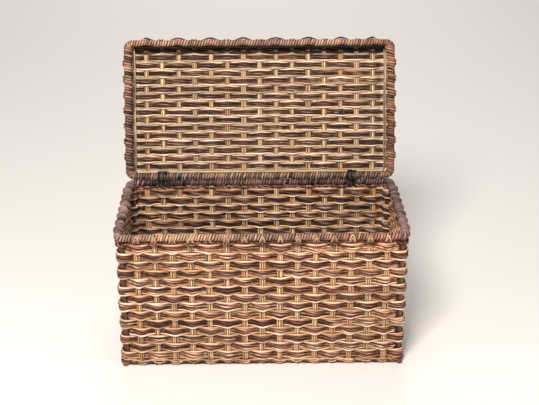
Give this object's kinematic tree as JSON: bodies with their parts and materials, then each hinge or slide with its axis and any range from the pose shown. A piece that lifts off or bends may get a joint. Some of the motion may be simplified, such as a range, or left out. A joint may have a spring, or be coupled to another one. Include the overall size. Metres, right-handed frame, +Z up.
{
  "type": "wicker storage trunk",
  "caption": "Rectangular woven trunk with a cord-bound rim and a shallow woven lid that leans open on two cord lashings.",
  "frame": {"origin": "middle of the centre runner's underside, on the surface the trunk stands on, at the middle of the trunk's plan", "axes": "+X to the trunk's right as seen from the front, +Y to the back where the lid is hinged, +Z up"},
  "size_m": [0.65, 0.461, 0.6425],
  "materials": {
    "woven_cane": "matte",
    "plaited_border": "matte",
    "plain_wood": "matte",
    "cane_pole": "satin",
    "rim_cord": "matte",
    "lid_rim_cord": "matte",
    "dark_lashing": "matte"
  },
  "bodies": {
    "trunk": {"woven_wall_front": "woven_cane", "woven_wall_back": "woven_cane", "woven_wall_left": "woven_cane", "woven_wall_right": "woven_cane", "woven_floor": "woven_cane", "base_border_front": "plaited_border", "base_border_back": "plaited_border", "base_border_left": "plaited_border", "base_border_right": "plaited_border", "floor_runner_left": "plain_wood", "floor_runner_centre": "plain_wood", "floor_runner_right": "plain_wood", "base_rail_front": "cane_pole", "base_rail_back": "cane_pole", "base_rail_left": "cane_pole", "base_rail_right": "cane_pole", "corner_post_front_left": "cane_pole", "corner_post_front_right": "cane_pole", "corner_post_back_left": "cane_pole", "corner_post_back_right": "cane_pole", "rim_pole_front": "cane_pole", "rim_pole_back": "cane_pole", "rim_pole_left": "cane_pole", "rim_pole_right": "cane_pole", "rim_wrap_front": "rim_cord", "rim_wrap_back": "rim_cord", "rim_wrap_left": "rim_cord", "rim_wrap_right": "rim_cord", "hinge_lashing_left": "dark_lashing", "hinge_lashing_right": "dark_lashing"},
    "lid": {"lid_panel": "woven_cane", "lid_skirt_front": "woven_cane", "lid_skirt_back": "woven_cane", "lid_skirt_left": "woven_cane", "lid_skirt_right": "woven_cane", "lid_edge_cane_front": "cane_pole", "lid_edge_cane_back": "cane_pole", "lid_edge_cane_left": "cane_pole", "lid_edge_cane_right": "cane_pole", "lid_corner_strut_front_left": "cane_pole", "lid_corner_strut_front_right": "cane_pole", "lid_corner_strut_back_left": "cane_pole", "lid_corner_strut_back_right": "cane_pole", "lid_rim_pole_front": "cane_pole", "lid_rim_pole_back": "cane_pole", "lid_rim_pole_left": "cane_pole", "lid_rim_pole_right": "cane_pole", "lid_rim_wrap_front": "lid_rim_cord", "lid_rim_wrap_back": "lid_rim_cord", "lid_rim_wrap_left": "lid_rim_cord", "lid_rim_wrap_right": "lid_rim_cord"}
  },
  "joints": [
    {"name": "lid_hinge", "type": "hinge", "parent": "trunk", "child": "lid", "pos_m": [0, 0.1585, 0.3324], "axis": [1, 0, 0], "range_deg": [0, 107.5]}
  ]
}
